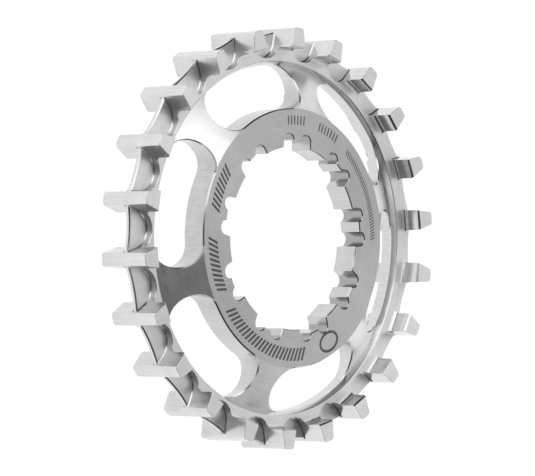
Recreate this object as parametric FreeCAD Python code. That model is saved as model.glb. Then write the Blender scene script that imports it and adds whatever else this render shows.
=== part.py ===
# Belt drive sprocket of 22 teeth for the splined body of a bicycle's rear hub.
#
# One piece of stainless steel: a flat hub ring with a splined bore, six spokes
# that slope down from its outer face, and a thin rim that carries the teeth.
# Each tooth is a bar along the axle, free at both ends. A thin fin stands on
# the rim between the bars and runs in the groove of the belt.
#
# Millimetres. The axle is the Z axis and the outer face looks up. The part
# lies on the back ends of its teeth, which are at Z = 0. +Y runs through the
# middle of one space of the spline.
import FreeCAD, Part
import math
import os

# Belt and teeth
TEETH = 22
BELT_PITCH = 11.0
TIP_BELOW_PITCH_LINE = 1.0
TOOTH_LENGTH = 10.7
TOOTH_HEIGHT = 3.565
TOOTH_ROOT_WIDTH = 3.55
TOOTH_FLANK_ANGLE = 10.0
TOOTH_CORNER_ROUND = 0.6
TOOTH_END_CHAMFER = 0.35
TOOTH_ROOT_BEVEL = 0.9
FIRST_TOOTH_ANGLE = 90.8
GAP_DEPTH = 5.315

# Fin between the teeth
FIN_THICKNESS = 1.0
FIN_BELOW_TIP = 1.215
FIN_SHOULDER_BELOW_TIP = 0.665

# Rim
RIM_THICKNESS = 3.7
RIM_WALL = 1.25
RIM_BEVEL_WIDTH = 0.7
RIM_FRONT_BEVEL = 1.0
RIM_BACK_BEVEL = 0.5

# Hub ring
HUB_RADIUS = 23.1
HUB_THICKNESS = 4.75

# Windows between the spokes
SPOKES = 6
FIRST_SPOKE_ANGLE = 20.0
SPOKE_WIDTH = 5.4

# Splined bore
SPLINES = 9
FIRST_SPACE_ANGLE = 90.0
SPLINE_MINOR_RADIUS = 16.3
SPACE_DEPTH = 1.15
SPACE_WIDTH = 6.8
RELIEF_RADIUS = 1.25
RELIEF_DEPTH = 1.15
INDEX_TAB_ANGLE = 310.0
INDEX_TAB_TRIM = 0.34

# Radii, from the tips of the teeth inwards and from the bore outwards
TIP_RADIUS = TEETH * BELT_PITCH / (2.0 * math.pi) - TIP_BELOW_PITCH_LINE
TOOTH_UNDERSIDE_RADIUS = TIP_RADIUS - TOOTH_HEIGHT
FIN_RADIUS = TIP_RADIUS - FIN_BELOW_TIP
FIN_SHOULDER_RADIUS = TIP_RADIUS - FIN_SHOULDER_BELOW_TIP
GAP_FLOOR_RADIUS = TIP_RADIUS - GAP_DEPTH
RIM_INNER_RADIUS = GAP_FLOOR_RADIUS - RIM_WALL
RIM_FLAT_RADIUS = RIM_INNER_RADIUS + RIM_BEVEL_WIDTH
SPLINE_MAJOR_RADIUS = SPLINE_MINOR_RADIUS + SPACE_DEPTH
RELIEF_OUTERMOST_RADIUS = SPLINE_MAJOR_RADIUS + RELIEF_DEPTH

# Heights above the back ends of the teeth
MIDDLE = TOOTH_LENGTH / 2.0
RIM_FRONT = MIDDLE + RIM_THICKNESS / 2.0
RIM_BACK = MIDDLE - RIM_THICKNESS / 2.0
HUB_BACK = TOOTH_LENGTH - HUB_THICKNESS

# Helpers
PITCH_ANGLE = 360.0 / TEETH
OVERCUT = 1.0
AXLE = FreeCAD.Vector(0.0, 0.0, 1.0)
ORIGIN = FreeCAD.Vector(0.0, 0.0, 0.0)


def on_ray(across, along, degrees):
    """Point a distance along a ray from the axle, and across it to the left."""
    turn = math.radians(degrees)
    x = along * math.cos(turn) - across * math.sin(turn)
    y = along * math.sin(turn) + across * math.cos(turn)
    return FreeCAD.Vector(x, y, 0.0)


def line(start, end):
    """Straight edge between two points."""
    return Part.LineSegment(start, end).toShape()


def arc(start, middle, end):
    """Round edge through three points."""
    return Part.Arc(start, middle, end).toShape()


def prism(edges, bottom, top):
    """Solid between two heights over a closed outline drawn at height 0."""
    face = Part.Face(Part.Wire(edges))
    solid = face.extrude(FreeCAD.Vector(0.0, 0.0, top - bottom))
    solid.translate(FreeCAD.Vector(0.0, 0.0, bottom))
    return solid


def turned(shape, degrees):
    """Copy of a shape turned about the axle."""
    copy = shape.copy()
    copy.rotate(ORIGIN, AXLE, degrees)
    return copy


def section(radius, height):
    """Point of a section through the axle, at angle 0."""
    return FreeCAD.Vector(radius, 0.0, height)


def polygon(corners):
    """Straight edges round a closed outline."""
    return [line(start, end) for start, end in zip(corners, corners[1:] + corners[:1])]


def blank():
    """Turned blank: hub ring, sloping web, and a rim that reaches past the tips of the teeth."""
    outside = TIP_RADIUS + OVERCUT
    corners = [
        section(SPLINE_MINOR_RADIUS, TOOTH_LENGTH),
        section(HUB_RADIUS, TOOTH_LENGTH),
        section(RIM_INNER_RADIUS, RIM_FRONT - RIM_FRONT_BEVEL),
        section(RIM_FLAT_RADIUS, RIM_FRONT),
        section(outside, RIM_FRONT),
        section(outside, RIM_BACK),
        section(RIM_FLAT_RADIUS, RIM_BACK),
        section(RIM_INNER_RADIUS, RIM_BACK + RIM_BACK_BEVEL),
        section(HUB_RADIUS, HUB_BACK),
        section(SPLINE_MINOR_RADIUS, HUB_BACK),
    ]
    return Part.Face(Part.Wire(polygon(corners))).revolve(ORIGIN, AXLE, 360.0)


def bar():
    """Bar of one tooth on the X axis, with its two free ends and their bevels."""
    outside = TIP_RADIUS + OVERCUT
    foot = TOOTH_UNDERSIDE_RADIUS - TOOTH_ROOT_BEVEL
    tip = TOOTH_UNDERSIDE_RADIUS + TOOTH_END_CHAMFER
    front = [
        section(foot, RIM_FRONT),
        section(TOOTH_UNDERSIDE_RADIUS, RIM_FRONT + TOOTH_ROOT_BEVEL),
        section(TOOTH_UNDERSIDE_RADIUS, TOOTH_LENGTH - TOOTH_END_CHAMFER),
        section(tip, TOOTH_LENGTH),
        section(outside, TOOTH_LENGTH),
    ]
    back = [section(corner.x, TOOTH_LENGTH - corner.z) for corner in reversed(front)]
    face = Part.Face(Part.Wire(polygon(front + back)))
    solid = face.extrude(FreeCAD.Vector(0.0, 2.0 * TOOTH_ROOT_WIDTH, 0.0))
    solid.translate(FreeCAD.Vector(0.0, -TOOTH_ROOT_WIDTH, 0.0))
    return solid


def bars():
    """The bars of all the teeth, still wider than the teeth."""
    tooth = bar()
    return [turned(tooth, FIRST_TOOTH_ANGLE + index * PITCH_ANGLE) for index in range(TEETH)]


def flank_line():
    """One point of a tooth's flank and its direction, on the gap's own ray.

    The flank is the one on the left of a gap, so it leans away from the ray.
    """
    half_pitch = math.radians(PITCH_ANGLE / 2.0)
    root = (-TOOTH_ROOT_WIDTH / 2.0, TOOTH_UNDERSIDE_RADIUS)
    across = root[1] * math.sin(half_pitch) + root[0] * math.cos(half_pitch)
    along = root[1] * math.cos(half_pitch) - root[0] * math.sin(half_pitch)
    lean = math.radians(TOOTH_FLANK_ANGLE) + half_pitch
    return across, along, lean


def flank_across(along):
    """Half width of a gap at a distance along its ray."""
    across, reference, lean = flank_line()
    return across + (along - reference) * math.tan(lean)


def gap_floor_end():
    """Where the round floor of a gap meets the flank, as (across, along)."""
    across, along, lean = flank_line()
    reach = across * math.cos(lean) - along * math.sin(lean)
    radius = (reach + GAP_FLOOR_RADIUS * math.sin(lean)) / (1.0 - math.sin(lean))
    meet_along = GAP_FLOOR_RADIUS + radius - radius * math.sin(lean)
    return radius * math.cos(lean), meet_along


def tooth_corner():
    """The round between a flank and the tooth's land, on the tooth's own ray.

    Gives the points where it leaves the flank, its middle and where it meets
    the land, as (across, along) of the tooth's left side.
    """
    lean = math.radians(TOOTH_FLANK_ANGLE)
    along_flank = (-math.sin(lean), math.cos(lean))
    inward = (-math.cos(lean), -math.sin(lean))
    start = (TOOTH_ROOT_WIDTH / 2.0 + TOOTH_CORNER_ROUND * inward[0],
             TOOTH_UNDERSIDE_RADIUS + TOOTH_CORNER_ROUND * inward[1])
    reach = TIP_RADIUS - TOOTH_CORNER_ROUND
    dot = start[0] * along_flank[0] + start[1] * along_flank[1]
    rise = -dot + math.sqrt(dot ** 2 - start[0] ** 2 - start[1] ** 2 + reach ** 2)
    centre = (start[0] + rise * along_flank[0], start[1] + rise * along_flank[1])
    outward = (centre[0] / reach, centre[1] / reach)
    halfway = (outward[0] - inward[0], outward[1] - inward[1])
    size = math.hypot(*halfway)
    on_flank = (centre[0] - TOOTH_CORNER_ROUND * inward[0],
                centre[1] - TOOTH_CORNER_ROUND * inward[1])
    on_round = (centre[0] + TOOTH_CORNER_ROUND * halfway[0] / size,
                centre[1] + TOOTH_CORNER_ROUND * halfway[1] / size)
    on_land = (outward[0] * TIP_RADIUS, outward[1] * TIP_RADIUS)
    return on_flank, on_round, on_land


def fin_shoulder():
    """Where the fin's edge meets a flank, as (across, along) on the gap's ray."""
    across, along, lean = flank_line()
    slope = math.tan(lean)
    offset = across - along * slope
    square = 1.0 + slope ** 2
    half = slope * offset
    reach = FIN_SHOULDER_RADIUS
    meet = (-half + math.sqrt(half ** 2 - square * (offset ** 2 - reach ** 2))) / square
    return flank_across(meet), meet


def tip_outline():
    """Outline of the tooth tips and of the fin's scalloped edge between them."""
    on_flank, on_round, on_land = tooth_corner()
    shoulder_across, shoulder_along = fin_shoulder()
    edges = []
    for index in range(TEETH):
        tooth = FIRST_TOOTH_ANGLE + index * PITCH_ANGLE
        gap = tooth + PITCH_ANGLE / 2.0
        after = tooth + PITCH_ANGLE
        right = [on_ray(-across, along, tooth) for across, along in (on_flank, on_round, on_land)]
        left = [on_ray(across, along, tooth) for across, along in (on_flank, on_round, on_land)]
        fin_start = on_ray(-shoulder_across, shoulder_along, gap)
        fin_end = on_ray(shoulder_across, shoulder_along, gap)
        edges.append(arc(right[0], right[1], right[2]))
        edges.append(arc(right[2], on_ray(0.0, TIP_RADIUS, tooth), left[2]))
        edges.append(arc(left[2], left[1], left[0]))
        edges.append(line(left[0], fin_start))
        edges.append(arc(fin_start, on_ray(0.0, FIN_RADIUS, gap), fin_end))
        edges.append(line(fin_end, on_ray(-on_flank[0], on_flank[1], after)))
    return edges


def gap_cutter():
    """Cutter of one gap in front of the fin."""
    meet_across, meet_along = gap_floor_end()
    top = TIP_RADIUS + 2.0 * OVERCUT
    low_left = on_ray(meet_across, meet_along, 0.0)
    low_right = on_ray(-meet_across, meet_along, 0.0)
    top_left = on_ray(flank_across(top), top, 0.0)
    top_right = on_ray(-flank_across(top), top, 0.0)
    edges = [
        arc(low_right, on_ray(0.0, GAP_FLOOR_RADIUS, 0.0), low_left),
        line(low_left, top_left),
        line(top_left, top_right),
        line(top_right, low_right),
    ]
    return prism(edges, MIDDLE + FIN_THICKNESS / 2.0, TOOTH_LENGTH + OVERCUT)


def gap_cutters():
    """The cutters of all gaps, in front of the fin and their mirror images behind it."""
    front = gap_cutter()
    back = front.mirror(FreeCAD.Vector(0.0, 0.0, MIDDLE), AXLE)
    angles = [FIRST_TOOTH_ANGLE + (index + 0.5) * PITCH_ANGLE for index in range(TEETH)]
    return [turned(cutter, angle) for angle in angles for cutter in (front, back)]


def window_cutter(centre):
    """One kidney-shaped window with full round ends, centred on a ray."""
    middle_radius = (HUB_RADIUS + RIM_INNER_RADIUS) / 2.0
    end_round = (RIM_INNER_RADIUS - HUB_RADIUS) / 2.0
    half_spoke = math.degrees(math.asin((SPOKE_WIDTH / 2.0 + end_round) / middle_radius))
    start = centre - 180.0 / SPOKES + half_spoke
    end = centre + 180.0 / SPOKES - half_spoke
    rim_start, rim_middle, rim_end = [
        on_ray(0.0, RIM_INNER_RADIUS, angle) for angle in (start, centre, end)]
    hub_start, hub_middle, hub_end = [
        on_ray(0.0, HUB_RADIUS, angle) for angle in (start, centre, end)]
    edges = [
        arc(rim_start, rim_middle, rim_end),
        arc(rim_end, on_ray(end_round, middle_radius, end), hub_end),
        arc(hub_end, hub_middle, hub_start),
        arc(hub_start, on_ray(-end_round, middle_radius, start), rim_start),
    ]
    return prism(edges, -OVERCUT, TOOTH_LENGTH + OVERCUT)


def window_cutters():
    """The windows, one half-way between each two spokes."""
    step = 360.0 / SPOKES
    return [window_cutter(FIRST_SPOKE_ANGLE + (index + 0.5) * step) for index in range(SPOKES)]


def relief_round(trim):
    """The relief in a space's left corner, as (across, along) on the space's ray.

    Gives the point where it leaves the wall, its top, and where it meets the
    space's floor. trim is how much wider than half a space this side is.
    """
    half_space = SPACE_WIDTH / 2.0 - RELIEF_RADIUS
    centre_along = math.sqrt((RELIEF_OUTERMOST_RADIUS - RELIEF_RADIUS) ** 2 - half_space ** 2)
    centre_across = half_space + trim
    reach = math.hypot(centre_across, centre_along)
    rise = (SPLINE_MAJOR_RADIUS ** 2 + reach ** 2 - RELIEF_RADIUS ** 2) / (2.0 * reach)
    half = math.sqrt(SPLINE_MAJOR_RADIUS ** 2 - rise ** 2)
    at_wall = (centre_across + RELIEF_RADIUS, centre_along)
    at_top = (centre_across, centre_along + RELIEF_RADIUS)
    at_floor = ((rise * centre_across - half * centre_along) / reach,
                (rise * centre_along + half * centre_across) / reach)
    return at_wall, at_top, at_floor


def space_cutter(centre, right_trim, left_trim):
    """One space of the spline, with a round relief in each of its corners."""
    inside = SPLINE_MINOR_RADIUS - 2.0 * OVERCUT
    left = [on_ray(across, along, centre) for across, along in relief_round(left_trim)]
    right = [on_ray(-across, along, centre) for across, along in relief_round(right_trim)]
    left_start = on_ray(SPACE_WIDTH / 2.0 + left_trim, inside, centre)
    right_start = on_ray(-SPACE_WIDTH / 2.0 - right_trim, inside, centre)
    edges = [
        line(right_start, right[0]),
        arc(right[0], right[1], right[2]),
        arc(right[2], on_ray(0.0, SPLINE_MAJOR_RADIUS, centre), left[2]),
        arc(left[2], left[1], left[0]),
        line(left[0], left_start),
        line(left_start, right_start),
    ]
    return prism(edges, HUB_BACK - OVERCUT, TOOTH_LENGTH + OVERCUT)


def space_cutters():
    """The spaces of the spline. Those beside the narrow index tab are a little wider."""
    step = 360.0 / SPLINES
    cutters = []
    for index in range(SPLINES):
        centre = FIRST_SPACE_ANGLE + index * step
        to_index = (INDEX_TAB_ANGLE - centre + 180.0) % 360.0 - 180.0
        left_trim = INDEX_TAB_TRIM if 0.0 < to_index < step else 0.0
        right_trim = INDEX_TAB_TRIM if -step < to_index < 0.0 else 0.0
        cutters.append(space_cutter(centre, right_trim, left_trim))
    return cutters


def drive_sprocket():
    """The finished sprocket."""
    body = blank().fuse(bars())
    body = body.common(prism(tip_outline(), -OVERCUT, TOOTH_LENGTH + OVERCUT))
    body = body.cut(gap_cutters() + window_cutters() + space_cutters())
    return body.removeSplitter()


def main():
    """Writes the sprocket as a STEP file."""
    os.makedirs("parts", exist_ok=True)
    sprocket = drive_sprocket()
    print("solids", len(sprocket.Solids), "valid", sprocket.isValid())
    print("volume", round(sprocket.Volume, 2), "box", sprocket.BoundBox)
    sprocket.exportStep("parts/drive_sprocket.step")


main()
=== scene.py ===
"""Looks for a belt drive sprocket: machined steel, etched marks, studio light and camera.

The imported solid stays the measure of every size. What shows is a copy of it, with
its small edge breaks cut and the feet of its teeth rounded. All lengths that the
classes hold are millimetres in the part's own frame: the axle is Z, the marked
face looks up, and the teeth's back ends lie at Z = 0.
"""
import logging
import math
from dataclasses import dataclass, field
from enum import Enum

import bmesh
import bpy
from mathutils import Matrix, Vector


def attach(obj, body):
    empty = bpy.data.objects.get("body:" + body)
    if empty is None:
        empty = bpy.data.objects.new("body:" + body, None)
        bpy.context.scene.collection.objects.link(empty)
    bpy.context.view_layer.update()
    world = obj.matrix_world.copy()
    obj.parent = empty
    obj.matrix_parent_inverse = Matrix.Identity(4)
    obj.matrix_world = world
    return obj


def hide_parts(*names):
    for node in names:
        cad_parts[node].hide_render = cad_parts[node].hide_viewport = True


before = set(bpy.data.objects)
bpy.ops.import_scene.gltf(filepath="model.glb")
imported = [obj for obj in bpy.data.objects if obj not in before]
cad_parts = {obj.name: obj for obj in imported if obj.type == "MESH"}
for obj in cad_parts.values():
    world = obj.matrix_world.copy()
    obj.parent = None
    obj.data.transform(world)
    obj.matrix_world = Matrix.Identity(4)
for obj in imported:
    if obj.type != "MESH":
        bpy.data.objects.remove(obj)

MM = 0.001
BODY = "root"
NODE = "drive_sprocket"
PICTURE_WIDTH = 535

log = logging.getLogger("sprocket")
Span = tuple[float, float]
Way = tuple[float, float, float]
EdgesByPlace = dict["EdgePlace", list[bmesh.types.BMEdge]]


class EdgePlace(Enum):
    """Where an edge of the sprocket stands, which sets how far it is broken."""

    FIN_ROOT = "fin_root"
    FIN_RIM = "fin_rim"
    GAP_MOUTH = "gap_mouth"
    TOOTH_SIDE = "tooth_side"
    TOOTH_END = "tooth_end"
    HUB_WINDOW = "hub_window"
    HUB_SPOKE = "hub_spoke"
    WINDOW_FRONT = "window_front"
    WINDOW_BACK = "window_back"
    RIM_VALLEY = "rim_valley"
    RIM_BROW = "rim_brow"
    SPLINE_FACE = "spline_face"
    SPLINE_SIDE = "spline_side"
    PLAIN = "plain"


class EdgeCut(Enum):
    """How an edge is broken: a flat chamfer or a round, by the number of its strips."""

    CHAMFER = 1
    ROUND = 3


def linear(tone: float) -> float:
    """Linear value of a picture tone from 0 to 255."""
    share = tone / 255.0
    return share / 12.92 if share <= 0.04045 else ((share + 0.055) / 1.055) ** 2.4


def grey(value: float) -> tuple[float, float, float, float]:
    """Opaque neutral colour of a linear value."""
    return (value, value, value, 1.0)


def linked(name: str, data: bpy.types.ID) -> bpy.types.Object:
    """New object in the scene that holds a mesh, a lamp or a camera."""
    made = bpy.data.objects.new(name, data)
    bpy.context.scene.collection.objects.link(made)
    return made


def piece_of(work: bmesh.types.BMesh, name: str) -> bpy.types.Object:
    """New object with the mesh that was being made, which is freed."""
    mesh = bpy.data.meshes.new(name)
    work.to_mesh(mesh)
    work.free()
    return linked(name, mesh)


def settle(piece: bpy.types.Object) -> None:
    """Works a piece's modifiers into its mesh and removes them."""
    graph = bpy.context.evaluated_depsgraph_get()
    piece.data = bpy.data.meshes.new_from_object(
        piece.evaluated_get(graph), preserve_all_data_layers=True, depsgraph=graph)
    piece.modifiers.clear()


def rectangle(name: str, width: float, height: float) -> bpy.types.Mesh:
    """Level rectangle about the origin, from its sides in millimetres."""
    half_x, half_y = width * MM / 2.0, height * MM / 2.0
    mesh = bpy.data.meshes.new(name)
    mesh.from_pydata([(-half_x, -half_y, 0.0), (half_x, -half_y, 0.0),
                      (half_x, half_y, 0.0), (-half_x, half_y, 0.0)], [], [(0, 1, 2, 3)])
    return mesh


class NodeSheet:
    """A node tree with short ways to add and join its nodes."""

    def __init__(self, tree: bpy.types.NodeTree) -> None:
        """Empties the tree.

        Args:
            tree: The tree to fill.
        """
        self.tree = tree
        tree.nodes.clear()

    def add(self, kind: str, **settings: object) -> bpy.types.Node:
        """Adds a node.

        Args:
            kind: The node's type name.
            settings: Properties to set on it.

        Returns:
            The node.
        """
        node = self.tree.nodes.new(kind)
        for name, value in settings.items():
            setattr(node, name, value)
        return node

    def feed(self, socket: bpy.types.NodeSocket, source: object) -> None:
        """Joins a socket to another one, or sets its value."""
        if isinstance(source, bpy.types.NodeSocket):
            self.tree.links.new(source, socket)
        else:
            socket.default_value = source

    def maths(self, operation: str, *values: object,
              clamp: bool = False) -> bpy.types.NodeSocket:
        """Result of a maths node.

        Args:
            operation: The node's operation.
            values: Numbers or sockets, one for each input.
            clamp: Whether the result stays between 0 and 1.

        Returns:
            The output socket.
        """
        node = self.add("ShaderNodeMath", operation=operation, use_clamp=clamp)
        for socket, value in zip(node.inputs, values):
            self.feed(socket, value)
        return node.outputs[0]

    def blend(self, factor: object, low: object, high: object) -> bpy.types.NodeSocket:
        """Number between two others.

        Args:
            factor: 0 gives the low one and 1 the high one.
            low: Number or socket.
            high: Number or socket.

        Returns:
            The output socket.
        """
        node = self.add("ShaderNodeMix", data_type="FLOAT")
        for socket, value in zip(node.inputs[:1] + node.inputs[2:4], (factor, low, high)):
            self.feed(socket, value)
        return node.outputs[0]

    def step(self, value: object, start: float, end: float) -> bpy.types.NodeSocket:
        """Smooth rise from 0 to 1 while a value goes from start to end."""
        node = self.add("ShaderNodeMapRange", interpolation_type="SMOOTHSTEP")
        for name, source in (("Value", value), ("From Min", start), ("From Max", end)):
            self.feed(node.inputs[name], source)
        return node.outputs[0]

    def noise(self, vector: object, scale: float, detail: float,
              rough: float) -> bpy.types.NodeSocket:
        """Noise value, about 0.5 on average.

        Args:
            vector: Where it is read.
            scale: Cells per unit.
            detail: Number of finer layers.
            rough: Share of each finer layer.

        Returns:
            The output socket.
        """
        node = self.add("ShaderNodeTexNoise")
        self.feed(node.inputs["Vector"], vector)
        self.feed(node.inputs["Scale"], scale)
        self.feed(node.inputs["Detail"], detail)
        self.feed(node.inputs["Roughness"], rough)
        return node.outputs["Fac"]

    def vector(self, x: object, y: object, z: object) -> bpy.types.NodeSocket:
        """Vector of three numbers or sockets."""
        node = self.add("ShaderNodeCombineXYZ")
        for socket, value in zip(node.inputs, (x, y, z)):
            self.feed(socket, value)
        return node.outputs[0]

    def parts(self, vector: bpy.types.NodeSocket) -> list[bpy.types.NodeSocket]:
        """The three numbers of a vector."""
        node = self.add("ShaderNodeSeparateXYZ")
        self.feed(node.inputs[0], vector)
        return list(node.outputs)

    def fall(self, value: object, start: float, end: float) -> bpy.types.NodeSocket:
        """Smooth drop from 1 to 0 while a value goes from start to end."""
        return self.maths("SUBTRACT", 1.0, self.step(value, start, end))

    def swing(self, value: object, size: float) -> bpy.types.NodeSocket:
        """How far a noise value is from its average, times a size."""
        return self.maths("MULTIPLY", self.maths("SUBTRACT", value, 0.5), size)

    def even(self, value: object) -> bpy.types.NodeSocket:
        """Neutral colour of a number or socket."""
        node = self.add("ShaderNodeCombineColor")
        for socket in node.inputs:
            self.feed(socket, value)
        return node.outputs[0]

    def show(self, shader: bpy.types.NodeSocket) -> None:
        """Makes a shader the surface of the tree's material."""
        self.feed(self.add("ShaderNodeOutputMaterial").inputs["Surface"], shader)


def blank_material(name: str) -> tuple[bpy.types.Material, NodeSheet]:
    """New material and its empty sheet."""
    made = bpy.data.materials.new(name)
    made.use_nodes = True
    return made, NodeSheet(made.node_tree)


@dataclass(frozen=True)
class MachinedSteel:
    """Bright stainless steel as it leaves the lathe and the mill.

    Turned faces carry fine rings about the axle, milled walls carry lines along
    the axle, and both are a little cloudy. A surface's lean is 0 on a wall along
    the axle and 1 on a level face.
    """

    name: str = "machined_stainless_steel"
    milled_tone: float = 206.0
    face_tone: float = 220.0
    hub_tone: float = 186.0
    web_tone: float = 218.0
    bore_tone: float = 194.0
    # painted shade: a darker tone on the milled relief walls near the bore, standing in for the
    # shade in that recess
    relief_painted_shade_tone: float = 160.0
    milled_roughness: float = 0.22
    turned_roughness: float = 0.30
    face_roughness: float = 0.46
    turned_lean: Span = (0.72, 0.82)
    flat_lean: Span = (0.93, 0.985)
    ring_pitch: float = 3.2
    ring_drift: float = 2.2
    line_pitch: float = 2.6
    line_drift: float = 0.10
    mark_detail: float = 4.0
    mark_rough: float = 0.7
    mark_in_tone: float = 0.34
    mark_in_roughness: float = 0.18
    cloud_size: float = 3.5
    cloud_detail: float = 3.0
    cloud_rough: float = 0.6
    cloud_in_tone: float = 0.26
    cloud_in_roughness: float = 0.10
    groove_depth: float = 0.004
    groove_strength: float = 0.5
    # where the painted shade of the relief walls begins and ends, in millimetres from the axle
    relief_start: Span = (17.4, 17.9)
    relief_end: Span = (19.0, 19.2)
    hub_end: Span = (23.3, 23.5)
    rim_start: Span = (25.3, 29.3)
    face_start: Span = (10.60, 10.66)
    anisotropy: float = 0.6

    def material(self) -> bpy.types.Material:
        """The finish.

        Returns:
            A material that reads the object's own coordinates and normals.
        """
        made, sheet = blank_material(self.name)
        place = sheet.add("ShaderNodeTexCoord")
        scaled = sheet.add("ShaderNodeVectorMath", operation="SCALE")
        sheet.feed(scaled.inputs[0], place.outputs["Object"])
        sheet.feed(scaled.inputs["Scale"], 1.0 / MM)
        x, y, z = sheet.parts(scaled.outputs[0])
        lean = sheet.maths("ABSOLUTE", sheet.parts(place.outputs["Normal"])[2])
        radius = sheet.maths("SQRT", sheet.maths(
            "ADD", sheet.maths("MULTIPLY", x, x), sheet.maths("MULTIPLY", y, y)))
        turned = sheet.step(lean, *self.turned_lean)
        flat = sheet.step(lean, *self.flat_lean)
        marks = sheet.blend(
            turned, self._lines(sheet, x, y, z), self._rings(sheet, x, y, radius))
        clouds = sheet.noise(
            scaled.outputs[0], 1.0 / self.cloud_size, self.cloud_detail, self.cloud_rough)

        change = sheet.maths("ADD", sheet.swing(marks, self.mark_in_tone),
                             sheet.swing(clouds, self.cloud_in_tone))
        tone = sheet.maths("MULTIPLY", self._tone(sheet, radius, z, turned, flat),
                           sheet.maths("ADD", 1.0, change))
        rough = sheet.blend(turned, self.milled_roughness, self.turned_roughness)
        rough = sheet.blend(flat, rough, self.face_roughness)
        rough = sheet.maths("ADD", rough, sheet.swing(marks, self.mark_in_roughness))
        rough = sheet.maths("ADD", rough, sheet.swing(clouds, self.cloud_in_roughness))
        bump = sheet.add("ShaderNodeBump")
        sheet.feed(bump.inputs["Strength"], self.groove_strength)
        sheet.feed(bump.inputs["Distance"], self.groove_depth * MM)
        sheet.feed(bump.inputs["Height"], marks)

        steel = sheet.add("ShaderNodeBsdfPrincipled")
        across = self._across(sheet, x, y, place.outputs["Normal"], turned)
        for name, source in (("Metallic", 1.0), ("Base Color", sheet.even(tone)),
                             ("Roughness", rough), ("Normal", bump.outputs[0]),
                             ("Anisotropic", self.anisotropy), ("Tangent", across)):
            sheet.feed(steel.inputs[name], source)
        sheet.show(steel.outputs[0])
        return made

    def _tone(self, sheet: NodeSheet, radius: object, z: object, turned: object,
              flat: object) -> bpy.types.NodeSocket:
        """Linear tone of the bare steel in each zone, with painted shade on the milled walls of
        the reliefs near the bore.

        Args:
            sheet: The tree.
            radius: Distance from the axle in millimetres.
            z: Height in millimetres.
            turned: 1 on turned faces and 0 on milled walls.
            flat: 1 on level faces and 0 elsewhere.

        Returns:
            The tone, before tool marks and clouds.
        """
        on_hub = sheet.maths("MULTIPLY", sheet.step(z, *self.face_start),
                             sheet.fall(radius, *self.hub_end))
        hub = sheet.maths("MULTIPLY", on_hub, flat)
        # painted shade: darkens the milled relief walls near the bore below the bare steel's tone
        shaded_relief = sheet.maths("MULTIPLY", sheet.step(radius, *self.relief_start),
                             sheet.fall(radius, *self.relief_end))
        tone = sheet.blend(sheet.step(radius, *self.rim_start), linear(self.bore_tone),
                           linear(self.milled_tone))
        for share, zone in ((shaded_relief, self.relief_painted_shade_tone), (turned, self.web_tone),
                            (flat, self.face_tone), (hub, self.hub_tone)):
            tone = sheet.blend(share, tone, linear(zone))
        return tone

    def _across(self, sheet: NodeSheet, x: object, y: object, normal: object,
                turned: object) -> bpy.types.NodeSocket:
        """Way across the tool marks, along which a brushed surface spreads what it mirrors.

        Args:
            sheet: The tree.
            x: Place along X in millimetres.
            y: Place along Y in millimetres.
            normal: The surface's own direction.
            turned: 1 where the marks are rings and 0 where they run along the axle.

        Returns:
            The direction.
        """
        level = sheet.add("ShaderNodeVectorMath", operation="CROSS_PRODUCT")
        sheet.feed(level.inputs[0], normal)
        sheet.feed(level.inputs[1], (0.0, 0.0, 1.0))
        choice = sheet.add("ShaderNodeMix", data_type="VECTOR")
        sheet.feed(choice.inputs["Factor"], turned)
        sheet.feed(choice.inputs[4], level.outputs[0])
        sheet.feed(choice.inputs[5], sheet.vector(x, y, 0.0))
        return choice.outputs[1]

    def _rings(self, sheet: NodeSheet, x: object, y: object,
               radius: object) -> bpy.types.NodeSocket:
        """Fine rings about the axle.

        Args:
            sheet: The tree.
            x: Place along X in millimetres.
            y: Place along Y in millimetres.
            radius: Distance from the axle in millimetres.

        Returns:
            Their height, from 0 to 1.
        """
        around_x = sheet.maths("MULTIPLY", sheet.maths("DIVIDE", x, radius), self.ring_drift)
        around_y = sheet.maths("MULTIPLY", sheet.maths("DIVIDE", y, radius), self.ring_drift)
        along = sheet.maths("MULTIPLY", radius, self.ring_pitch)
        spot = sheet.vector(along, around_x, around_y)
        return sheet.noise(spot, 1.0, self.mark_detail, self.mark_rough)

    def _lines(self, sheet: NodeSheet, x: object, y: object, z: object) -> bpy.types.NodeSocket:
        """Fine lines along the axle.

        Args:
            sheet: The tree.
            x: Place along X in millimetres.
            y: Place along Y in millimetres.
            z: Height in millimetres.

        Returns:
            Their height, from 0 to 1.
        """
        across_x = sheet.maths("MULTIPLY", x, self.line_pitch)
        across_y = sheet.maths("MULTIPLY", y, self.line_pitch)
        up = sheet.maths("MULTIPLY", z, self.line_drift)
        spot = sheet.vector(across_x, across_y, up)
        return sheet.noise(spot, 1.0, self.mark_detail, self.mark_rough)


@dataclass(frozen=True)
class EtchedMark:
    """Dark matt oxide that a laser leaves on steel."""

    name: str = "laser_etched_oxide"
    tone: float = 92.0
    tone_spread: float = 0.3
    roughness: float = 0.55
    roughness_spread: float = 0.1
    metallic: float = 0.6
    patches: float = 900.0
    patch_detail: float = 3.0
    patch_rough: float = 0.6

    def material(self) -> bpy.types.Material:
        """The finish.

        Returns:
            A material that is a little uneven from stroke to stroke.
        """
        made, sheet = blank_material(self.name)
        place = sheet.add("ShaderNodeTexCoord").outputs["Object"]
        uneven = sheet.noise(place, self.patches, self.patch_detail, self.patch_rough)
        value = linear(self.tone)
        tone = sheet.blend(
            uneven, value * (1.0 - self.tone_spread), value * (1.0 + self.tone_spread))
        rough = sheet.blend(uneven, self.roughness - self.roughness_spread,
                            self.roughness + self.roughness_spread)
        mark = sheet.add("ShaderNodeBsdfPrincipled")
        sheet.feed(mark.inputs["Metallic"], self.metallic)
        sheet.feed(mark.inputs["Base Color"], sheet.even(tone))
        sheet.feed(mark.inputs["Roughness"], rough)
        sheet.show(mark.outputs[0])
        return made


@dataclass(frozen=True)
class EdgeBreak:
    """How wide an edge is cut, and in which way."""

    width: float
    cut: EdgeCut = EdgeCut.CHAMFER


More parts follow.
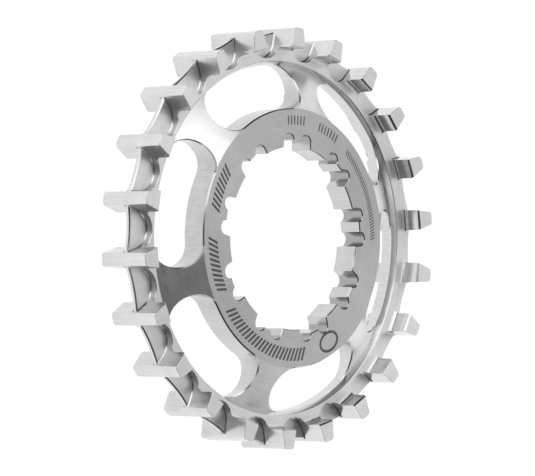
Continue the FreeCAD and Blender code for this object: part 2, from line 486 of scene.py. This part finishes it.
@dataclass
class CornerFillets:
    """Narrow sloping strips that lie in the corners between the fin and the gaps.

    One step gives a flat strip, and more steps give a round one.
    """

    steel: bpy.types.Material
    name: str = "corner_fillets"
    radii: dict[EdgePlace, float] = field(default_factory=lambda: {
        EdgePlace.FIN_ROOT: 0.2,
    })
    steps: int = 1
    buried: float = 0.04
    crease_turn: float = 40.0
    least_share: float = 0.5

    def build(self, places: EdgesByPlace) -> bpy.types.Object:
        """Sweeps a strip along every run of inside corners.

        Args:
            places: The body's sharp edges, sorted by where they stand.

        Returns:
            The piece.
        """
        work = bmesh.new()
        for place, radius in self.radii.items():
            for run in self._runs(places[place]):
                spots, sides = self._path(run)
                self._sweep(work, spots, sides, self._way_up(run[0]), radius)
        bmesh.ops.recalc_face_normals(work, faces=work.faces)
        for face in work.faces:
            face.smooth = True
        for edge in work.edges:
            edge.smooth = edge.calc_face_angle(math.pi) < math.radians(self.crease_turn)
        piece = piece_of(work, self.name)
        piece.data.materials.append(self.steel)
        return piece

    def _runs(self, edges: list[bmesh.types.BMEdge]) -> list[list[bmesh.types.BMEdge]]:
        """Sorts edges into runs that follow each other end to end.

        Args:
            edges: The edges.

        Returns:
            The runs, each in order.
        """
        left = set(edges)
        at_corner: dict[bmesh.types.BMVert, list[bmesh.types.BMEdge]] = {}
        for edge in edges:
            for vert in edge.verts:
                at_corner.setdefault(vert, []).append(edge)
        runs = []
        for start in edges:
            if start not in left or all(len(at_corner[vert]) == 2 for vert in start.verts):
                continue
            corner = next(vert for vert in start.verts if len(at_corner[vert]) == 1)
            run, edge = [], start
            while edge is not None and edge in left:
                left.discard(edge)
                run.append(edge)
                corner = edge.other_vert(corner)
                edge = next((other for other in at_corner[corner] if other in left), None)
            runs.append(run)
        return runs

    def _sweep(self, work: bmesh.types.BMesh, spots: list[Vector], sides: list[Vector],
               up: Vector, radius: float) -> None:
        """Sweeps one strip.

        Args:
            work: The mesh being made.
            spots: Points of the corner, in order.
            sides: At each point, the way out of the wall.
            up: The way out of the floor.
            radius: How far the strip reaches up the wall and over the floor.
        """
        rings = [[work.verts.new(point * MM) for point in self._section(spot, side, up, radius)]
                 for spot, side in zip(spots, sides)]
        count = len(rings[0])
        for first, second in zip(rings, rings[1:]):
            for index in range(count):
                after = (index + 1) % count
                work.faces.new((first[index], first[after], second[after], second[index]))
        work.faces.new(rings[0])
        work.faces.new(rings[-1])

    def _way_up(self, edge: bmesh.types.BMEdge) -> Vector:
        """Way out of the floor beside an edge."""
        floor = max((face.normal for face in edge.link_faces), key=lambda normal: abs(normal.z))
        return Vector((0.0, 0.0, math.copysign(1.0, floor.z)))

    def _path(self, run: list[bmesh.types.BMEdge]) -> tuple[list[Vector], list[Vector]]:
        """Points of a run, and at each the level way out of its wall.

        Args:
            run: Edges in order.

        Returns:
            The points in millimetres, and the ways, longer where the wall turns.
        """
        walls = []
        for edge in run:
            wall = min((face.normal for face in edge.link_faces), key=lambda normal: abs(normal.z))
            walls.append(Vector((wall.x, wall.y, 0.0)).normalized())
        first = run[0].verts[0]
        if len(run) > 1 and first in run[1].verts:
            first = run[0].verts[1]
        corners = [first]
        for edge in run:
            corners.append(edge.other_vert(corners[-1]))
        sides = []
        for before, after in zip([walls[0], *walls], [*walls, walls[-1]]):
            middle = (before + after).normalized()
            sides.append(middle / max(middle.dot(after), self.least_share))
        return [corner.co / MM for corner in corners], sides

    def _section(self, spot: Vector, side: Vector, up: Vector, radius: float) -> list[Vector]:
        """Outline of the strip at one point of its path.

        Args:
            spot: The point, in the corner itself.
            side: The way out of the wall.
            up: The way out of the floor.
            radius: How far the strip reaches up the wall and over the floor.

        Returns:
            Its points, the slope first and then the buried corner.
        """
        middle = spot + (side + up) * radius
        turns = [math.pi / 2.0 * step / self.steps for step in range(self.steps + 1)]
        slope = [middle - side * radius * math.cos(turn) - up * radius * math.sin(turn)
                 for turn in turns]
        in_wall, in_floor = side * self.buried, up * self.buried
        return [*slope, slope[-1] - in_floor, spot - in_wall - in_floor, slope[0] - in_wall]


@dataclass
class SprocketBody:
    """The sprocket, copied from its solid, with its edges broken and its feet rounded.

    A foot is where the end of a tooth that stands free meets the rim.
    """

    steel: bpy.types.Material
    name: str = "sprocket_body"
    face_top: float = 10.7
    rim_front: float = 7.2
    rim_back: float = 3.5
    fin_front: float = 5.85
    fin_back: float = 4.85
    hub_radius: float = 23.1
    rim_inner: float = 30.95
    rim_flat: float = 31.65
    gap_floor: float = 32.2
    root_reach: float = 34.6
    fin_reach: float = 36.25
    widest_break: float = 0.25
    sharp_turn: float = 18.0
    crease_turn: float = 28.0
    flat_turn: float = 0.15
    normal_weight: int = 50
    foot_steps: int = 6
    foot_lean: Span = (0.6, 0.8)
    foot_overhang: float = 1.0
    foot_slack: float = 0.004
    weld: float = 0.002
    cut_slack: float = 0.001
    level_slack: float = 0.02
    gap_slack: float = 0.25
    rim_slack: float = 0.12
    hub_slack: float = 0.15
    hub_rise: float = 0.5
    web_rise: float = 0.25
    window_turn: float = 60.0
    breaks: dict[EdgePlace, EdgeBreak] = field(default_factory=lambda: {
        EdgePlace.FIN_RIM: EdgeBreak(0.22),
        EdgePlace.GAP_MOUTH: EdgeBreak(0.08),
        EdgePlace.TOOTH_SIDE: EdgeBreak(0.10, EdgeCut.ROUND),
        EdgePlace.TOOTH_END: EdgeBreak(0.10, EdgeCut.ROUND),
        EdgePlace.HUB_WINDOW: EdgeBreak(0.22),
        EdgePlace.WINDOW_FRONT: EdgeBreak(0.22),
        EdgePlace.WINDOW_BACK: EdgeBreak(0.16),
        EdgePlace.RIM_BROW: EdgeBreak(0.15, EdgeCut.ROUND),
        EdgePlace.SPLINE_FACE: EdgeBreak(0.16),
        EdgePlace.SPLINE_SIDE: EdgeBreak(0.07, EdgeCut.ROUND),
    })

    def build(self) -> list[bpy.types.Object]:
        """Makes the copy that shows, and the strips in its inside corners.

        Returns:
            The two finished pieces.
        """
        work = self._merged()
        places = self._mark_edges(work)
        strips = CornerFillets(self.steel).build(places)
        piece = piece_of(work, self.name)
        for cut in EdgeCut:
            ease = piece.modifiers.new(cut.name.lower(), "BEVEL")
            ease.limit_method = "WEIGHT"
            ease.edge_weight = cut.name.lower()
            ease.width = self.widest_break * MM
            ease.segments = cut.value
            ease.use_clamp_overlap = False
            ease.loop_slide = False
        settle(piece)
        self._crease(piece.data)
        even = piece.modifiers.new("even_normals", "WEIGHTED_NORMAL")
        even.weight = self.normal_weight
        even.keep_sharp = True
        settle(piece)
        piece.data.materials.clear()
        piece.data.materials.append(self.steel)
        return [piece, strips]

    def _merged(self) -> bmesh.types.BMesh:
        """Copy of the solid's mesh with its loose triangles merged into faces.

        Returns:
            The copy.
        """
        work = bmesh.new()
        work.from_mesh(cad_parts[NODE].data)
        bmesh.ops.remove_doubles(work, verts=work.verts, dist=self.weld * MM)
        self._halve(work)
        bmesh.ops.dissolve_limit(work, angle_limit=math.radians(self.flat_turn),
                                 verts=work.verts, edges=work.edges, delimit={"SEAM"})
        work.normal_update()
        self._round_feet(work)
        work.normal_update()
        return work

    def _round_feet(self, work: bmesh.types.BMesh) -> None:
        """Turns the flat bevel at the foot of each tooth into a round.

        Args:
            work: The merged mesh.
        """
        feet = [face for face in work.faces if self._is_foot(face)]
        spans = {}
        for face in feet:
            top, low = self._span(face)
            spans.update({vert: (top, low) for vert in face.verts})
            for step in range(1, self.foot_steps):
                share = 1.0 - math.cos(math.pi / 2.0 * step / self.foot_steps)
                pair = self._corners_at(face, top + (low - top) * share)
                spans.update({vert: (top, low) for vert in pair})
                made, _ = bmesh.utils.face_split(face, *pair)
                if any(abs(vert.co.z - low) < self.cut_slack * MM for vert in made.verts):
                    face = made
        for vert, (top, low) in spans.items():
            share = min(max((vert.co.z - top) / (low - top), 0.0), 1.0)
            vert.co.z = top + (low - top) * math.sqrt(1.0 - (1.0 - share) ** 2)
        log.info("rounded feet: %d", len(feet))

    def _is_foot(self, face: bmesh.types.BMFace) -> bool:
        """Whether a face is the flat bevel at the foot of a tooth."""
        middle = face.calc_center_median() / MM
        radius = math.hypot(middle.x, middle.y)
        least, most = self.foot_lean
        if not least < abs(face.normal.z) < most:
            return False
        reach = self.foot_overhang
        beside_rim = self.rim_back - reach < middle.z < self.rim_front + reach
        return beside_rim and self.gap_floor < radius < self.root_reach

    def _span(self, face: bmesh.types.BMFace) -> tuple[float, float]:
        """Heights at which a foot meets its tooth and the rim, in metres."""
        centre = (self.rim_front + self.rim_back) / 2.0 * MM
        heights = sorted((vert.co.z for vert in face.verts),
                         key=lambda height: abs(height - centre))
        return heights[-1], heights[0]

    def _corners_at(self, face: bmesh.types.BMFace, level: float) -> list[bmesh.types.BMVert]:
        """Corners of a foot at one height, added where there are none.

        Args:
            face: The foot, or what is left of it.
            level: The height in metres.

        Returns:
            The two corners.
        """
        slack = self.foot_slack * MM
        for edge in list(face.edges):
            first, second = (vert.co.z for vert in edge.verts)
            if min(first, second) < level - slack and max(first, second) > level + slack:
                bmesh.utils.edge_split(edge, edge.verts[0], (level - first) / (second - first))
        return [vert for vert in face.verts if abs(vert.co.z - level) <= slack]

    def _mark_edges(self, work: bmesh.types.BMesh) -> EdgesByPlace:
        """Gives each sharp edge the size of its break.

        Args:
            work: The merged mesh.

        Returns:
            The sharp edges, sorted by where they stand.
        """
        weights = {cut: work.edges.layers.float.new(cut.name.lower()) for cut in EdgeCut}
        places: EdgesByPlace = {place: [] for place in EdgePlace}
        for edge in work.edges:
            edge.smooth = True
            if len(edge.link_faces) != 2 or edge.calc_face_angle() < math.radians(self.sharp_turn):
                continue
            place = self._place_of(edge)
            places[place].append(edge)
            given = self.breaks.get(place)
            if given is None:
                edge.smooth = False
            else:
                edge[weights[given.cut]] = given.width / self.widest_break
        for face in work.faces:
            face.smooth = True
        log.info("sharp edges: %s", {place.value: len(found) for place, found in places.items()})
        return places

    def _crease(self, mesh: bpy.types.Mesh) -> None:
        """Marks the edges between a flat face and its chamfer as sharp.

        Args:
            mesh: The mesh with its edges broken.
        """
        work = bmesh.new()
        work.from_mesh(mesh)
        for vert in work.verts:
            vert.co.z = min(max(vert.co.z, 0.0), self.face_top * MM)
        for edge in work.edges:
            if edge.calc_face_angle(0.0) > math.radians(self.crease_turn):
                edge.smooth = False
        work.to_mesh(mesh)
        work.free()

    def _halve(self, work: bmesh.types.BMesh) -> None:
        """Cuts every face where the plane X = 0 crosses it, so that no flat ring has a hole.

        Args:
            work: The merged mesh.
        """
        every = [*work.verts, *work.edges, *work.faces]
        cut = bmesh.ops.bisect_plane(work, geom=every, dist=self.cut_slack * MM,
                                     plane_co=(0.0, 0.0, 0.0), plane_no=(1.0, 0.0, 0.0))
        for item in cut["geom_cut"]:
            if isinstance(item, bmesh.types.BMEdge):
                item.seam = True

    def _place_of(self, edge: bmesh.types.BMEdge) -> EdgePlace:
        """Tells where a sharp edge stands.

        Args:
            edge: An edge between two faces.

        Returns:
            Its place.
        """
        ends = [vert.co / MM for vert in edge.verts]
        middle = (ends[0] + ends[1]) / 2.0
        radius = math.hypot(middle.x, middle.y)
        level = abs(ends[0].z - ends[1].z) < self.level_slack
        if radius > self.gap_floor - self.gap_slack:
            return self._rim_place(edge, ends[0].z, radius, level)
        if radius > self.rim_inner - self.rim_slack:
            if level and abs(radius - self.rim_flat) < self.rim_slack:
                return EdgePlace.RIM_BROW
            if not edge.is_convex:
                return EdgePlace.RIM_VALLEY
            in_front = middle.z > self.fin_front
            return EdgePlace.WINDOW_FRONT if in_front else EdgePlace.WINDOW_BACK
        if radius > self.hub_radius - self.hub_slack:
            at_hub = level and abs(radius - self.hub_radius) < self.hub_slack
            return self._web_place(edge, middle.z, at_hub)
        return EdgePlace.SPLINE_FACE if level else EdgePlace.SPLINE_SIDE

    def _web_place(self, edge: bmesh.types.BMEdge, height: float, at_hub: bool) -> EdgePlace:
        """Tells where an edge of the spokes or the windows stands.

        Args:
            edge: The edge.
            height: How high its middle is.
            at_hub: Whether it is level and runs along the hub's outline.

        Returns:
            Its place.
        """
        if not at_hub:
            in_front = height > self.fin_front + self.web_rise
            return EdgePlace.WINDOW_FRONT if in_front else EdgePlace.WINDOW_BACK
        if height <= self.fin_front + self.hub_rise:
            return EdgePlace.WINDOW_BACK
        steep = math.degrees(edge.calc_face_angle()) > self.window_turn
        return EdgePlace.HUB_WINDOW if steep else EdgePlace.HUB_SPOKE

    def _rim_place(self, edge: bmesh.types.BMEdge, height: float, radius: float,
                   level: bool) -> EdgePlace:
        """Tells where an edge of the rim or the teeth stands.

        Args:
            edge: The edge.
            height: How high its first end is.
            radius: How far its middle is from the axle.
            level: Whether both ends are at one height.

        Returns:
            Its place.
        """
        slack = self.level_slack
        fin = min(abs(height - self.fin_front), abs(height - self.fin_back))
        rim = min(abs(height - self.rim_front), abs(height - self.rim_back))
        if level and fin < slack:
            if edge.is_convex:
                return EdgePlace.FIN_RIM
            return EdgePlace.FIN_ROOT if radius < self.fin_reach else EdgePlace.PLAIN
        if not edge.is_convex:
            return EdgePlace.PLAIN
        if level and rim < slack:
            return EdgePlace.GAP_MOUTH
        if level and (height > self.face_top - slack or height < slack):
            return EdgePlace.TOOTH_END
        return EdgePlace.TOOTH_SIDE


@dataclass(frozen=True)
class MarkRow:
    """One row of like strokes along an arc of the hub face."""

    name: str
    start: float
    sweep: float
    count: int
    radius: float
    height: float
    stroke: float
    lean: float


@dataclass
class EtchedRows:
    """Plain strokes on the hub face, where such parts are marked."""

    oxide: bpy.types.Material
    face_top: float = 10.7
    thickness: float = 0.02
    proud: float = 0.004
    rows: tuple[MarkRow, ...] = (
        MarkRow("etched_band_low", 221.0, 58.0, 24, 20.7, 2.3, 0.50, 24.0),
        MarkRow("etched_band_mid", 184.5, 24.5, 11, 20.7, 2.3, 0.50, 24.0),
        MarkRow("etched_band_high", 148.5, 20.0, 9, 20.7, 2.3, 0.50, 24.0),
        MarkRow("etched_ticks_left", 86.0, 11.0, 6, 21.0, 1.6, 0.30, 0.0),
        MarkRow("etched_ticks_right", 61.5, 13.0, 7, 21.0, 1.6, 0.30, 0.0),
        MarkRow("etched_fine_row", 3.0, 48.0, 34, 20.8, 1.15, 0.24, -18.0),
    )

    def build(self) -> list[bpy.types.Object]:
        """Makes every row.

        Returns:
            The pieces, one for each row.
        """
        tree = self._tree()
        return [self._row(tree, row) for row in self.rows]

    def _row(self, tree: bpy.types.GeometryNodeTree, row: MarkRow) -> bpy.types.Object:
        """Makes one row.

        Args:
            tree: The tree that lays strokes along an arc.
            row: What the row is like.

        Returns:
            The piece, as a plain mesh.
        """
        piece = linked(row.name, bpy.data.meshes.new(row.name))
        lay = piece.modifiers.new("strokes", "NODES")
        lay.node_group = tree
        sizes = {
            "Count": row.count,
            "Start": math.radians(row.start),
            "Sweep": math.radians(row.sweep),
            "Radius": row.radius * MM,
            "Height": row.height * MM,
            "Stroke": row.stroke * MM,
            "Lean": math.tan(math.radians(row.lean)),
            "Level": (self.face_top - self.thickness / 2.0 + self.proud) * MM,
            "Thickness": self.thickness * MM,
            "Finish": self.oxide,
        }
        for socket in tree.interface.items_tree:
            if socket.in_out == "INPUT" and socket.name in sizes:
                lay[socket.identifier] = sizes[socket.name]
        settle(piece)
        return piece

    def _tree(self) -> bpy.types.GeometryNodeTree:
        """Tree that lays leaning strokes along an arc about the axle.

        Returns:
            The tree, with its sizes as named inputs.
        """
        tree = bpy.data.node_groups.new("strokes_along_an_arc", "GeometryNodeTree")
        lengths = ("Start", "Sweep", "Radius", "Height", "Stroke", "Lean", "Level", "Thickness")
        for name, kind in (("Geometry", "NodeSocketGeometry"), ("Count", "NodeSocketInt"),
                           *((name, "NodeSocketFloat") for name in lengths),
                           ("Finish", "NodeSocketMaterial")):
            tree.interface.new_socket(name, in_out="INPUT", socket_type=kind)
        tree.interface.new_socket("Geometry", in_out="OUTPUT", socket_type="NodeSocketGeometry")
        sheet = NodeSheet(tree)
        given = sheet.add("NodeGroupInput").outputs

        index = sheet.add("GeometryNodeInputIndex").outputs[0]
        share = sheet.maths("DIVIDE", index, sheet.maths("SUBTRACT", given["Count"], 1.0))
        turn = sheet.maths("ADD", given["Start"], sheet.maths("MULTIPLY", given["Sweep"], share))
        spots = sheet.add("GeometryNodePoints")
        sheet.feed(spots.inputs["Count"], given["Count"])
        sheet.feed(spots.inputs["Position"], sheet.vector(
            sheet.maths("MULTIPLY", given["Radius"], sheet.maths("COSINE", turn)),
            sheet.maths("MULTIPLY", given["Radius"], sheet.maths("SINE", turn)), given["Level"]))

        stroke = sheet.add("GeometryNodeMeshCube")
        sheet.feed(stroke.inputs["Size"], sheet.vector(
            given["Stroke"], given["Height"], given["Thickness"]))
        up = sheet.parts(sheet.add("GeometryNodeInputPosition").outputs[0])[1]
        leaned = sheet.add("GeometryNodeSetPosition")
        sheet.feed(leaned.inputs["Geometry"], stroke.outputs["Mesh"])
        sheet.feed(leaned.inputs["Offset"], sheet.vector(
            sheet.maths("MULTIPLY", up, given["Lean"]), 0.0, 0.0))

        laid = sheet.add("GeometryNodeInstanceOnPoints")
        sheet.feed(laid.inputs["Points"], spots.outputs[0])
        sheet.feed(laid.inputs["Instance"], leaned.outputs[0])
        sheet.feed(laid.inputs["Rotation"], sheet.vector(
            0.0, 0.0, sheet.maths("SUBTRACT", turn, math.pi / 2.0)))
        real = sheet.add("GeometryNodeRealizeInstances")
        sheet.feed(real.inputs[0], laid.outputs[0])
        dressed = sheet.add("GeometryNodeSetMaterial")
        sheet.feed(dressed.inputs["Geometry"], real.outputs[0])
        sheet.feed(dressed.inputs["Material"], given["Finish"])
        end = sheet.add("NodeGroupOutput")
        sheet.feed(end.inputs[0], dressed.outputs[0])
        return tree


@dataclass
class EtchedRing:
    """Plain oval ring on the hub face."""

    oxide: bpy.types.Material
    name: str = "etched_ring"
    angle: float = 298.8
    radius: float = 20.55
    half_width: float = 2.6
    half_height: float = 1.85
    line: float = 0.5
    bottom: float = 10.684
    top: float = 10.704
    steps: int = 64

    def build(self) -> bpy.types.Object:
        """Makes the ring as a closed band.

        Returns:
            The piece.
        """
        work = bmesh.new()
        loops = [[self._point(work, step, inset, height) for step in range(self.steps)]
                 for inset, height in ((0.0, self.bottom), (0.0, self.top),
                                       (self.line, self.top), (self.line, self.bottom))]
        for first, second in zip(loops, loops[1:] + loops[:1]):
            for step in range(self.steps):
                after = (step + 1) % self.steps
                work.faces.new((first[step], first[after], second[after], second[step]))
        bmesh.ops.recalc_face_normals(work, faces=work.faces)
        piece = piece_of(work, self.name)
        piece.data.materials.append(self.oxide)
        return piece

    def _point(self, work: bmesh.types.BMesh, step: int, inset: float,
               height: float) -> bmesh.types.BMVert:
        """One point of the ring.

        Args:
            work: The mesh being made.
            step: Its number round the ring.
            inset: How far inside the outer outline it is.
            height: Its height.

        Returns:
            The new point.
        """
        turn = 2.0 * math.pi * step / self.steps
        across = (self.half_width - inset) * math.cos(turn)
        along = self.radius + (self.half_height - inset) * math.sin(turn)
        ray = math.radians(self.angle)
        return work.verts.new((
            (along * math.cos(ray) - across * math.sin(ray)) * MM,
            (along * math.sin(ray) + across * math.cos(ray)) * MM,
            height * MM))


@dataclass(frozen=True)
class ShadeCard:
    """A card beside the set that only reflections see."""

    name: str
    towards: Way
    width: float
    height: float
    tone: float
    distance: float = 420.0


@dataclass(frozen=True)
class SoftLamp:
    """A square lamp that hangs off in one direction and faces the object."""

    name: str
    towards: Way
    size: float
    power: float
    distance: float = 900.0


@dataclass
class Studio:
    """Pale floor, soft lamps and the cards that give the steel its darker reflections.

    A pair of shades or strengths holds the one by sight and the one in reflections.
    """

    centre: Way = (0.0, 0.0, 5.0)
    floor_side: float = 12000.0
    floor_matt: float = 0.8
    floor_shades: Span = (0.10, 0.52)
    floor_glows: Span = (0.97, 0.85)
    ambient: float = 0.55
    lamps: tuple[SoftLamp, ...] = (
        SoftLamp("key_lamp", (-0.35, 0.55, 0.75), 900.0, 1.8),
        SoftLamp("fill_lamp", (-0.6, -0.7, 0.6), 600.0, 0.8),
    )
    cards: tuple[ShadeCard, ...] = (
        ShadeCard("card_behind_camera", (-0.66, -0.10, 0.78), 320.0, 210.0, 32.0),
        ShadeCard("card_low_left", (-0.90, 0.02, 0.36), 900.0, 190.0, 220.0, 440.0),
        ShadeCard("card_overhead", (-0.12, -0.30, 0.95), 330.0, 300.0, 109.0, 440.0),
        ShadeCard("card_beyond", (0.725, 0.049, 0.687), 300.0, 420.0, 247.0),
        ShadeCard("card_below_right", (0.607, -0.620, 0.499), 300.0, 300.0, 211.0, 430.0),
        ShadeCard("card_below", (-0.08, -0.78, 0.62), 600.0, 420.0, 48.0, 425.0),
        ShadeCard("card_above", (0.22, 0.90, 0.28), 420.0, 340.0, 22.0, 425.0),
    )

    def build(self) -> None:
        """Sets the floor, the lamps, the cards and the world."""
        self._floor()
        self._world()
        for card in self.cards:
            self._card(card)
        for lamp in self.lamps:
            self._lamp(lamp)

    def _floor(self) -> None:
        """Pale floor that reads white, with a faint shadow of the object."""
        mesh = rectangle("floor", self.floor_side, self.floor_side)
        floor = linked("floor", mesh)
        made, sheet = blank_material("pale_floor")
        matt = sheet.add("ShaderNodeBsdfDiffuse")
        sheet.feed(matt.inputs["Color"], grey(self.floor_matt))
        mirrored = sheet.add("ShaderNodeLightPath").outputs["Is Glossy Ray"]
        shaded = sheet.add("ShaderNodeBsdfDiffuse")
        sheet.feed(shaded.inputs["Color"], sheet.even(sheet.blend(mirrored, *self.floor_shades)))
        glow = sheet.add("ShaderNodeEmission")
        sheet.feed(glow.inputs["Color"], grey(1.0))
        sheet.feed(glow.inputs["Strength"], sheet.blend(mirrored, *self.floor_glows))
        both = sheet.add("ShaderNodeAddShader")
        sheet.feed(both.inputs[0], shaded.outputs[0])
        sheet.feed(both.inputs[1], glow.outputs[0])
        choice = sheet.add("ShaderNodeMixShader")
        sheet.feed(choice.inputs[0], self._seen(sheet))
        sheet.feed(choice.inputs[1], matt.outputs[0])
        sheet.feed(choice.inputs[2], both.outputs[0])
        sheet.show(choice.outputs[0])
        mesh.materials.append(made)

    def _seen(self, sheet: NodeSheet) -> bpy.types.NodeSocket:
        """1 for the rays that show the background itself, by sight, mirror or glass."""
        path = sheet.add("ShaderNodeLightPath")
        sight = sheet.maths(
            "ADD", path.outputs["Is Camera Ray"], path.outputs["Is Glossy Ray"], clamp=True)
        return sheet.maths("ADD", sight, path.outputs["Is Transmission Ray"], clamp=True)

    def _world(self) -> None:
        """White world by sight and in reflections, and a plain grey one as light."""
        world = bpy.data.worlds.new("studio")
        bpy.context.scene.world = world
        world.use_nodes = True
        sheet = NodeSheet(world.node_tree)
        light = sheet.add("ShaderNodeBackground")
        sheet.feed(light.inputs["Color"], grey(1.0))
        sheet.feed(light.inputs["Strength"], sheet.blend(self._seen(sheet), self.ambient, 1.0))
        end = sheet.add("ShaderNodeOutputWorld")
        sheet.feed(end.inputs["Surface"], light.outputs[0])

    def _aimed(self, towards: Way, distance: float) -> Matrix:
        """Place of something that stands off in one direction and faces the object.

        Args:
            towards: Direction from the object.
            distance: How far off it stands, in millimetres.

        Returns:
            Its matrix.
        """
        away = Vector(towards).normalized()
        spot = Vector(self.centre) * MM + away * distance * MM
        return Matrix.Translation(spot) @ away.to_track_quat("Z", "Y").to_matrix().to_4x4()

    def _card(self, card: ShadeCard) -> None:
        """Stands one card.

        Args:
            card: Which one.
        """
        mesh = rectangle(card.name, card.width, card.height)
        mesh.transform(self._aimed(card.towards, card.distance))
        piece = linked(card.name, mesh)
        made, sheet = blank_material(card.name)
        glow = sheet.add("ShaderNodeEmission")
        sheet.feed(glow.inputs["Color"], grey(linear(card.tone)))
        sheet.show(glow.outputs[0])
        mesh.materials.append(made)
        piece.visible_camera = False
        piece.visible_diffuse = False
        piece.visible_shadow = False
        piece.visible_transmission = False

    def _lamp(self, lamp: SoftLamp) -> None:
        """Hangs one lamp."""
        light = bpy.data.lights.new(lamp.name, "AREA")
        light.shape = "SQUARE"
        light.size = lamp.size * MM
        light.energy = lamp.power
        linked(lamp.name, light).matrix_world = self._aimed(lamp.towards, lamp.distance)


@dataclass(frozen=True)
class PhotographCamera:
    """The camera where the photograph was taken from."""

    place: Way = (-476.173, -32.078, 455.575)
    up: Way = (-0.05851, 0.99824, 0.00937)
    look: Way = (0.7248, 0.04893, -0.68722)
    focal_pixels: float = 3671.02
    sensor: float = 36.0
    nearest: float = 0.01
    farthest: float = 50.0

    def build(self) -> None:
        """Sets the scene's camera."""
        lens = bpy.data.cameras.new("photograph")
        lens.sensor_width = self.sensor
        lens.sensor_fit = "HORIZONTAL"
        lens.lens = self.focal_pixels / PICTURE_WIDTH * self.sensor
        lens.clip_start = self.nearest
        lens.clip_end = self.farthest
        camera = linked("photograph", lens)
        back = -Vector(self.look).normalized()
        right = Vector(self.up).normalized().cross(back).normalized()
        turn = Matrix((right, back.cross(right), back)).transposed().to_4x4()
        camera.matrix_world = Matrix.Translation(Vector(self.place) * MM) @ turn
        bpy.context.scene.camera = camera


def main() -> None:
    """Builds the sprocket's looks, the studio and the camera, in order."""
    logging.basicConfig(level=logging.INFO, format="%(name)s: %(message)s")
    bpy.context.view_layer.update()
    bpy.context.scene.view_settings.view_transform = "Standard"

    steel = MachinedSteel().material()
    oxide = EtchedMark().material()
    body, *strips = SprocketBody(steel).build()
    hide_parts(NODE)
    for piece in (body, *strips, *EtchedRows(oxide).build(), EtchedRing(oxide).build()):
        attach(piece, BODY)
        log.info("%s: %d faces", piece.name, len(piece.data.polygons))

    Studio().build()
    PhotographCamera().build()


if __name__ == "__main__":
    main()
